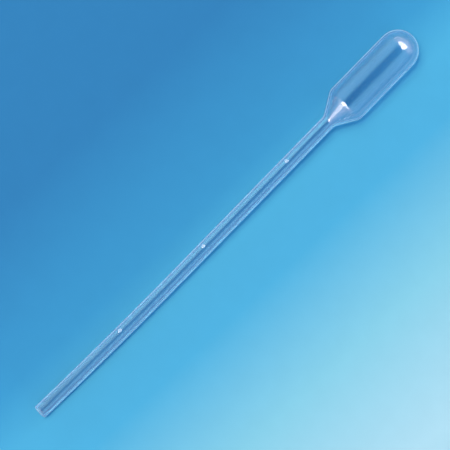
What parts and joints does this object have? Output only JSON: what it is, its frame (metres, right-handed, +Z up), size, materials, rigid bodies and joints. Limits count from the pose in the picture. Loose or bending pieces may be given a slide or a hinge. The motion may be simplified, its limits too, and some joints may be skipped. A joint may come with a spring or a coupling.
{
  "type": "plastic dropper pipette",
  "caption": "Moulded plastic dropper pipette: a thin see-through stem, cut square, with raised volume dots, a short cone and a round-ended squeeze bulb, lying at rest.",
  "frame": {"origin": "on the surface that the pipette lies on, under the middle of its bounding box", "axes": "+X along the pipette from the cut end towards the bulb, +Z up from the surface, +Y towards the side that the stem bows to"},
  "size_m": [0.15, 0.012, 0.0126],
  "materials": {
    "polyethylene": "natural low-density polyethylene, see-through and faintly milky, with a soft gloss"
  },
  "bodies": {
    "root": {"pipette": "polyethylene"}
  },
  "joints": []
}
